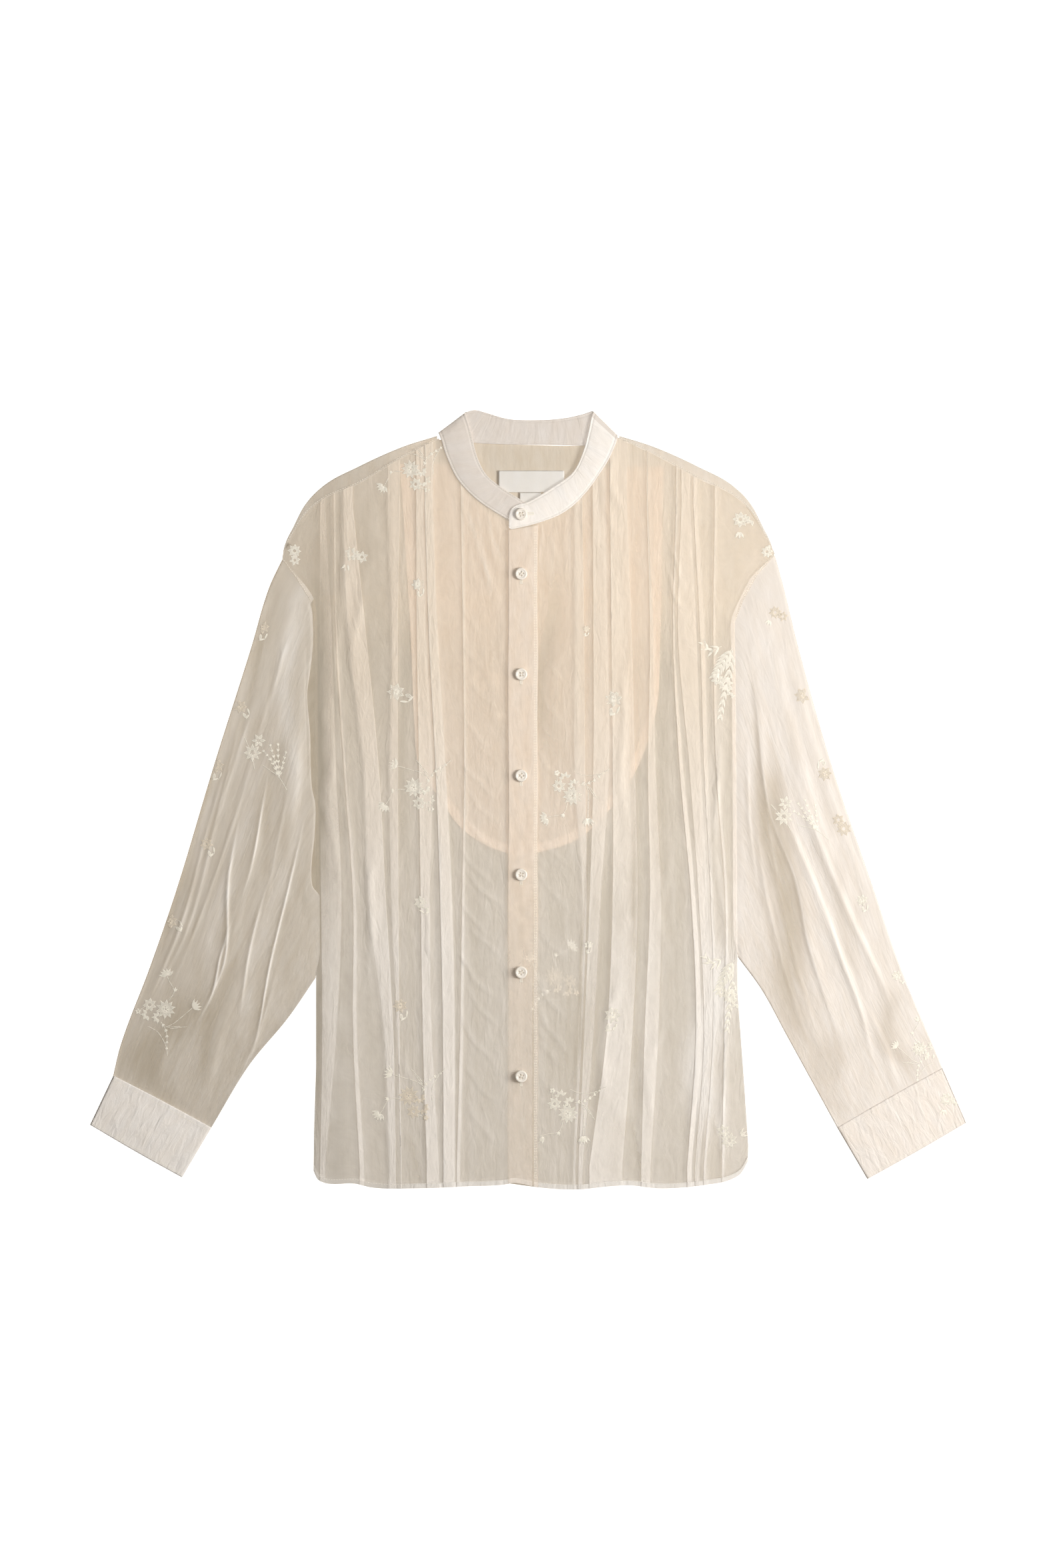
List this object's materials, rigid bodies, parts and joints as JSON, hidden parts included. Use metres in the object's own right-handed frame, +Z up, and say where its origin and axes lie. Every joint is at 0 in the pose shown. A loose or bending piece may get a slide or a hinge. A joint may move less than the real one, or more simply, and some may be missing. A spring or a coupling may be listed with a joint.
{
  "type": "embroidered sheer shirt laid flat",
  "caption": "Sheer ivory long-sleeved shirt with a band collar, pleated fronts and embroidered sprigs, laid flat on its back.",
  "frame": {"origin": "on the surface that the shirt lies on, below the middle of its outline", "axes": "+X across the shirt towards the side of the sleeve on the right as seen, +Y towards the collar, +Z up from the surface"},
  "size_m": [0.8548, 0.7604, 0.0083],
  "materials": {
    "sheer_cloth": "sheer woven, soft sheen",
    "lining_cloth": "fine plain weave",
    "band_cloth": "doubled woven, soft sheen",
    "label_cloth": "woven satin tape",
    "button_shell": "polished ivory"
  },
  "bodies": {
    "root": {"back": "sheer_cloth", "yoke": "sheer_cloth", "bib_left": "lining_cloth", "bib_right": "lining_cloth", "front_left": "sheer_cloth", "front_right": "sheer_cloth", "sleeve_left": "sheer_cloth", "sleeve_right": "sheer_cloth", "cuff_left": "band_cloth", "cuff_right": "band_cloth", "collar_band": "band_cloth", "placket": "band_cloth", "neck_label": "label_cloth", "care_tag": "label_cloth", "button_1": "button_shell", "button_2": "button_shell", "button_3": "button_shell", "button_4": "button_shell", "button_5": "button_shell", "button_6": "button_shell", "button_7": "button_shell"}
  },
  "joints": []
}
